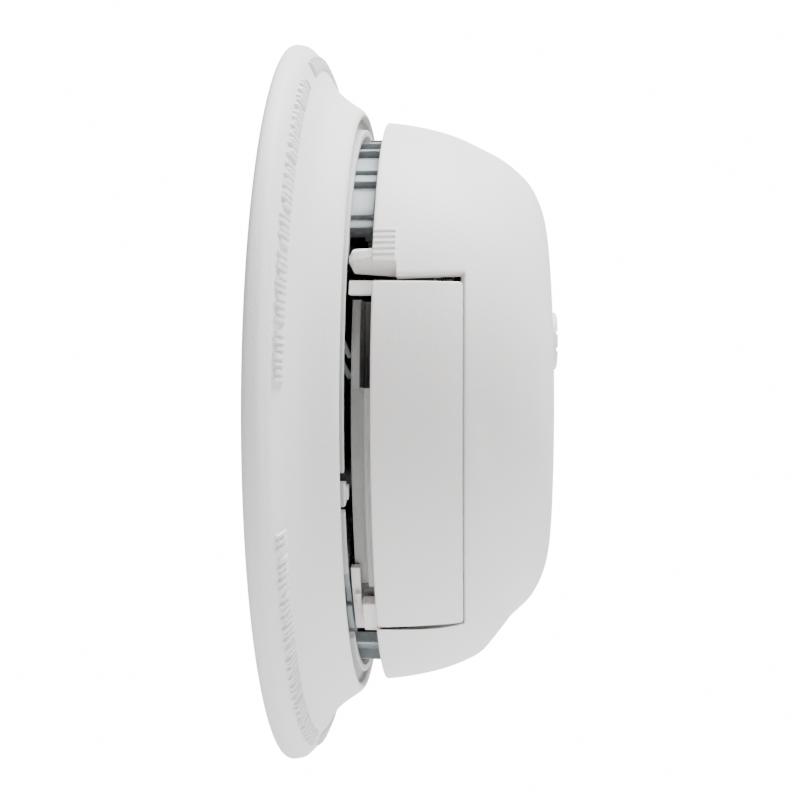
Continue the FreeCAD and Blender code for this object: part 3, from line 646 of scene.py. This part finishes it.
def drawerFace(shape):
    # rings of a rounded rectangle run in from the edge; the outer ones roll over it and down the side
    middle = np.array([(shape["top"] + shape["bottom"]) / 2, (shape["front"] + shape["back"]) / 2])
    half = np.array([(shape["top"] - shape["bottom"]) / 2, (shape["front"] - shape["back"]) / 2])

    def ring(inset, scale=1.0):
        size = half - inset
        corner = max(shape["corner"] - inset, 0.02)
        corners = [(-size[0], -size[1]), (size[0], -size[1]), (size[0], size[1]), (-size[0], size[1])]
        outline = roundedOutline(corners, [corner] * 4, 9)
        outline = np.vstack([outline, outline[:1]])
        steps = np.r_[0, np.cumsum(np.hypot(*np.diff(outline, axis=0).T))]
        at = np.linspace(0, steps[-1], shape["points"], endpoint=False)
        even = np.c_[np.interp(at, steps, outline[:, 0]), np.interp(at, steps, outline[:, 1])]
        return middle + scale * even

    def onDome(outline, drop):
        height, depth = outline[:, 0], outline[:, 1]
        radius = domeRadius(depth)
        side = np.sqrt(radius ** 2 - height ** 2)
        slope = (domeRadius(depth + 0.05) - domeRadius(depth - 0.05)) / 0.1
        normal = np.c_[-side / radius, slope, height / radius]
        normal /= np.linalg.norm(normal, axis=1)[:, None]
        return np.c_[-side, -depth, height] - drop * normal

    rolls = np.radians(np.linspace(0, 90, 6))
    edge = shape["edge"]
    layers = [onDome(ring(0.5, scale), 0) for scale in (0.0001, 0.12, 0.25, 0.4, 0.55, 0.7, 0.82, 0.92, 1.0)]
    layers += [onDome(ring(edge * (1 - math.sin(roll))), edge * (1 - math.cos(roll))) for roll in rolls]
    layers += [onDome(ring(0.0), drop) for drop in (1.0, shape["wall"])]
    layers += [onDome(ring(0.5, scale), shape["wall"]) for scale in (0.98, 0.8, 0.5, 0.2, 0.0001)]
    points = np.stack(layers)
    faces = gridFaces(len(layers), shape["points"], closedColumns=True)
    return points, faces


# the tab on the face's upper rear corner, as (radius, height) corners at three depths, and the lower one's lug
tabCorners = ((52.2, 18.95), (55.0, 18.95), (55.0, 20.2), (54.9, 21.45), (52.2, 21.45))
tabDepths = (14.45, 16.5, 19.2)
lugBlock = (53.6, 55.6, 218.2, 226.0, 16.05, 18.9)


def onLeft(depth, corners):
    # (radius, height) corners placed on the alarm's left side at one depth
    return [(-math.sqrt(radius ** 2 - height ** 2), depth, height) for radius, height in corners]


def drawerPieces(shape):
    points, faces = drawerFace(shape)
    face = putMesh("drawerFace", points, faces, "drawer", coverPlastic, ["drawer_face"])
    outward(face)
    smoothByAngle(face, 50)
    tab = [onLeft(depth, tabCorners) for depth in tabDepths]
    blockPiece("drawerTab", *sectionBlock(tab), "drawer", "white_shell", coverPlastic, 0.2)
    ringBlocks("drawerLug", [lugBlock], "drawer", "white_shell", coverPlastic, edge=0.2)


# what the cover carries: (x, z, outer, inner, back, front) tubes inside, and the hook and the ribbed pad
coverTubes = [(-7.81, 44.32, 3.0, 1.2, 22.0, 41.5), (42.44, 2.22, 3.0, 1.2, 22.0, 43.0),
              (22.87, -35.22, 3.0, 1.2, 22.0, 41.5), (0, 12.0, 7.9, 6.3, 40.0, 50.3),
              (0, 12.0, 6.6, 2.2, 40.0, 41.5), (0, -1.5, 2.7, 1.52, 44.0, 50.5),
              (-37.5, -32.6, 2.1, 1.2, 34.0, 35.4)]
padShape = dict(plate=(54.5, 56.85, 147.3, 154.2, 18.35, 22.4), ridge=(54.5, 57.05), ridgeDepths=(18.35, 22.25),
                first=147.6, pitch=1.18, width=0.65, count=5)


def tubesPiece(name, tubes, body, slot, material, columns=48):
    # a tube is a rounded (radius, depth) rectangle turned about its own axis
    points, faces = [], []
    for x, z, outer, inner, back, front in tubes:
        corners = [(inner, back), (outer, back), (outer, front), (inner, front)]
        profile = roundedOutline(corners, (0.15,) * 4, 3)
        start = len(points) * len(profile) * columns
        points.append(turned(profile, columns) + np.array([x, 0, z]))
        faces += (gridFaces(len(profile), columns, True, True) + start).tolist()
    piece = putMesh(name, np.concatenate(points), faces, body, material)
    outward(piece)
    smoothByAngle(piece)
    return piece


# each is a depth, then radius and height at five corners: inner top, outer top, crease, bottom, inner bottom
hookSections = [
    (14.35, (54.0, 25.8), (55.3, 25.6), (55.4, 24.7), (54.6, 24.4), (54.0, 24.4)),
    (14.65, (53.6, 27.0), (55.8, 26.2), (55.9, 24.6), (54.2, 23.8), (53.4, 23.8)),
    (15.2, (53.4, 27.2), (56.2, 26.4), (56.2, 24.8), (53.8, 22.7), (53.0, 22.7)),
    (18.2, (53.4, 27.4), (56.6, 26.8), (56.5, 25.2), (53.6, 22.5), (52.8, 22.5)),
    (20.5, (53.4, 27.4), (56.75, 26.8), (56.4, 24.9), (53.4, 22.3), (52.6, 22.3)),
    (22.45, (53.4, 27.4), (56.5, 26.8), (56.1, 24.5), (53.2, 22.1), (52.4, 22.1))]


def coverDetails(pad):
    ride = ("alarm", "white_shell", coverPlastic)
    tubesPiece("coverPosts", coverTubes, *ride)
    sections = [onLeft(depth, corners) for depth, *corners in hookSections]
    blockPiece("coverHook", *sectionBlock(sections), *ride, 0.18)
    starts = [pad["first"] + pad["pitch"] * step for step in range(pad["count"])]
    ridges = [(*pad["ridge"], low, low + pad["width"], *pad["ridgeDepths"]) for low in starts]
    ringBlocks("padRidges", ridges, *ride, edge=0.16, columns=3)
    ringBlocks("padPlate", [pad["plate"]], *ride, edge=0.2)


def refined(nodeName, material, edge=0.12, segments=2):
    # a copy of a node's mesh: doubled points merged, flat facets joined, then its sharp edges rounded off
    source = nodes[nodeName]
    work = bmesh.new()
    work.from_mesh(source.data)
    bmesh.ops.remove_doubles(work, verts=work.verts, dist=0.002 * mm)
    bmesh.ops.dissolve_limit(work, angle_limit=math.radians(0.8), verts=work.verts, edges=work.edges)
    mesh = bpy.data.meshes.new(nodeName + "Fine")
    work.to_mesh(mesh)
    work.free()
    piece = bpy.data.objects.new(nodeName + "Fine", mesh)
    bpy.context.scene.collection.objects.link(piece)
    piece.matrix_world = source.matrix_world
    mesh.materials.clear()
    mesh.materials.append(material)
    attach(piece, bodyOf[nodeName])
    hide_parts(nodeName)
    if edge:
        bevelled(piece, edge, segments, 30)
        applyModifiers(piece)
    smoothByAngle(piece, 30)
    return piece


# the two leaning ribs that show between the lip and the drawer, as (depth, z) centre lines
ribLines = [((11.2, 15.2), (14.6, 8.5)), ((11.2, 11.6), (14.6, 5.0))]
ribSize = dict(half=0.42, across=(-50.3, -48.6))


def leaningRibs():
    points, faces = [], []
    for (backDepth, backZ), (frontDepth, frontZ) in ribLines:
        way = np.array([frontDepth - backDepth, frontZ - backZ])
        side = np.array([-way[1], way[0]]) / np.hypot(*way) * ribSize["half"]
        sections = []
        for x in ribSize["across"]:
            corners = [(backDepth - side[0], backZ - side[1]), (frontDepth - side[0], frontZ - side[1]),
                       (frontDepth + side[0], frontZ + side[1]), (backDepth + side[0], backZ + side[1])]
            sections.append([(x, depth, z) for depth, z in corners])
        block, blockFaces = sectionBlock(sections)
        faces += [tuple(corner + 8 * len(points) for corner in face) for face in blockFaces]
        points.append(block)
    blockPiece("leaningRibs", np.vstack(points), faces, "alarm", "housing_plastic", housingPlastic, 0.1)


bodyOf = {node: body for body, names in frame["record"]["behaviour"]["bodies"].items() for node in names}

print("bracket")
bracketPiece(bracketShape)
bracketBlocks(lockShape, webShape)
flangeDashes(dashShape)
print("cover")
coverPiece(coverShape, frontShape)
coverDetails(padShape)
print("drawer")
drawerPieces(faceShape)

print("inside")
leaningRibs()
refined("back_housing", housingPlastic, 0.15)
for nodeName, finish, edge in (("battery_tray", trayPaintedShade, 0.12), ("pivot_guard", coverPlastic, 0.1),
                               ("test_button", coverPlastic, 0.12)):
    refined(nodeName, finish, edge)

finishes = (
    (bracketPlastic, ("mounting_bracket",)),
    (housingPlastic, ("locking_pins", "back_housing", "horn_resonator")),
    (coverPlastic, ("front_cover", "drawer_face", "pivot_guard", "test_button")),
    (trayPaintedShade, ("battery_tray",)),
    (steelPlain, ("cover_screws", "drawer_pin", "board_screws", "insect_screen", "horn_contacts",
                  "button_spring")),
    (nickelPlain, ("battery_terminals", "battery_springs", "chip_legs")),
    (brassPlain, ("inlet_pins", "piezo_disc")),
    (blackPlastic, ("contact_holder", "inlet_shroud", "controller_chip", "chamber_base", "chamber_cap",
                    "tactile_switch")),
    (lensPlastic, ("infrared_lamp", "photodiode", "status_lamp", "light_pipe")),
    (batterySkin, ("battery_case",)),
    (boardMask, ("circuit_board",)),
    (redResin, ("film_capacitor",)),
    (sleevePlastic, ("electrolytic_capacitors",)),
    (tanLacquer, ("resistors",)))
nodeFinish = {name: finish for finish, names in finishes for name in names}
for nodeName, finish in nodeFinish.items():
    node = nodes[nodeName]
    node.data.materials.clear()
    node.data.materials.append(finish)

# ---- stage, light and camera ----
print("stage")
# metres; white is what the camera sees of the floor and the room
stageSize = dict(floorDrop=0.07, floorSpan=3.0, white=16.0)


def addFloor():
    half = stageSize["floorSpan"]
    level = cadBox[0][2] - stageSize["floorDrop"]
    mesh = bpy.data.meshes.new("floor")
    corners = [(-half, -half, level), (half, -half, level), (half, half, level), (-half, half, level)]
    mesh.from_pydata(corners, [], [(0, 1, 2, 3)])
    floor = bpy.data.objects.new("floor", mesh)
    bpy.context.scene.collection.objects.link(floor)
    material, tree, shader, where = shaderBase("floorPaint")
    shader.inputs["Base Color"].default_value = (0.92, 0.92, 0.92, 1)
    shader.inputs["Roughness"].default_value = 0.8
    bright = tree.nodes.new("ShaderNodeEmission")
    bright.inputs["Strength"].default_value = stageSize["white"]
    path = tree.nodes.new("ShaderNodeLightPath")
    mix = tree.nodes.new("ShaderNodeMixShader")
    tree.links.new(path.outputs["Is Camera Ray"], mix.inputs["Fac"])
    tree.links.new(shader.outputs["BSDF"], mix.inputs[1])
    tree.links.new(bright.outputs["Emission"], mix.inputs[2])
    tree.links.new(mix.outputs["Shader"], tree.nodes["Material Output"].inputs["Surface"])
    mesh.materials.append(material)


def addLight(name, place, target, size, power, color=(1, 1, 1)):
    lamp = bpy.data.lights.new(name, "AREA")
    lamp.shape = "SQUARE"
    lamp.size = size
    lamp.energy = power
    lamp.color = color
    light = bpy.data.objects.new(name, lamp)
    bpy.context.scene.collection.objects.link(light)
    light.location = place
    light.rotation_euler = (Vector(target) - Vector(place)).to_track_quat("-Z", "Y").to_euler()


def rampNode(tree, value, stops, low):
    # a colour ramp over a value that runs from low to 1
    spread = tree.nodes.new("ShaderNodeMapRange")
    spread.inputs["From Min"].default_value = low
    tree.links.new(value, spread.inputs["Value"])
    ramp = tree.nodes.new("ShaderNodeValToRGB")
    while len(ramp.color_ramp.elements) < len(stops):
        ramp.color_ramp.elements.new(0.5)
    for element, (place, color) in zip(ramp.color_ramp.elements, stops):
        element.position = place
        element.color = color
    tree.links.new(spread.outputs["Result"], ramp.inputs["Fac"])
    return ramp.outputs["Color"]


acrossStops = ((0.0, (0.10, 0.10, 0.105, 1)), (0.45, (0.18, 0.18, 0.185, 1)), (1.0, (1.3, 1.3, 1.3, 1)))
upwardStops = ((0.0, (1.0, 0.84, 0.76, 1)), (0.5, (0.97, 0.96, 0.95, 1)), (1.0, (1.6, 1.68, 1.75, 1)))


def addWorld():
    world = bpy.data.worlds.new("studio")
    bpy.context.scene.world = world
    world.use_nodes = True
    tree = world.node_tree
    sky = tree.nodes["Background"]
    # the room is dim behind the camera and bright beyond the alarm, and cooler from above
    place = tree.nodes.new("ShaderNodeTexCoord")
    split = tree.nodes.new("ShaderNodeSeparateXYZ")
    tree.links.new(place.outputs["Generated"], split.inputs["Vector"])
    across = rampNode(tree, split.outputs["X"], acrossStops, -1)
    upward = rampNode(tree, split.outputs["Z"], upwardStops, -1)
    blend = tree.nodes.new("ShaderNodeMix")
    blend.data_type = "RGBA"
    blend.blend_type = "MULTIPLY"
    blend.inputs["Factor"].default_value = 1.0
    tree.links.new(across, blend.inputs[6])
    tree.links.new(upward, blend.inputs[7])
    tree.links.new(blend.outputs[2], sky.inputs["Color"])
    sky.inputs["Strength"].default_value = 1.0
    white = tree.nodes.new("ShaderNodeBackground")
    white.inputs["Color"].default_value = (1, 1, 1, 1)
    white.inputs["Strength"].default_value = stageSize["white"]
    path = tree.nodes.new("ShaderNodeLightPath")
    mix = tree.nodes.new("ShaderNodeMixShader")
    tree.links.new(path.outputs["Is Camera Ray"], mix.inputs["Fac"])
    tree.links.new(sky.outputs["Background"], mix.inputs[1])
    tree.links.new(white.outputs["Background"], mix.inputs[2])
    tree.links.new(mix.outputs["Shader"], tree.nodes["World Output"].inputs["Surface"])


cameraShape = dict(place=(-0.25295, -0.03518, 0.00796), yaw=4.7, focal=54.4, sensor=36.0,
                   shift=(0.0334, -0.0491))


def addCamera(shape):
    lens = bpy.data.cameras.new("camera")
    lens.sensor_width = shape["sensor"]
    lens.lens = shape["focal"]
    lens.shift_x, lens.shift_y = shape["shift"]
    lens.clip_start = 0.01
    camera = bpy.data.objects.new("camera", lens)
    bpy.context.scene.collection.objects.link(camera)
    yaw = math.radians(shape["yaw"])
    camera.location = shape["place"]
    camera.rotation_euler = Vector((math.cos(yaw), math.sin(yaw), 0)).to_track_quat("-Z", "Y").to_euler()
    bpy.context.scene.camera = camera


addFloor()
addWorld()
addLight("topLight", (0.02, -0.22, 0.70), (0, -0.03, 0), 0.4, 20.0, (0.95, 0.98, 1.0))
addLight("frontLight", (-0.40, -0.55, 0.40), (0, -0.03, 0), 0.3, 2.0, (1.0, 0.985, 0.97))
addLight("lowLight", (0.08, -0.06, -0.70), (0, -0.03, 0), 0.4, 12.0, (1.0, 0.955, 0.92))
addCamera(cameraShape)
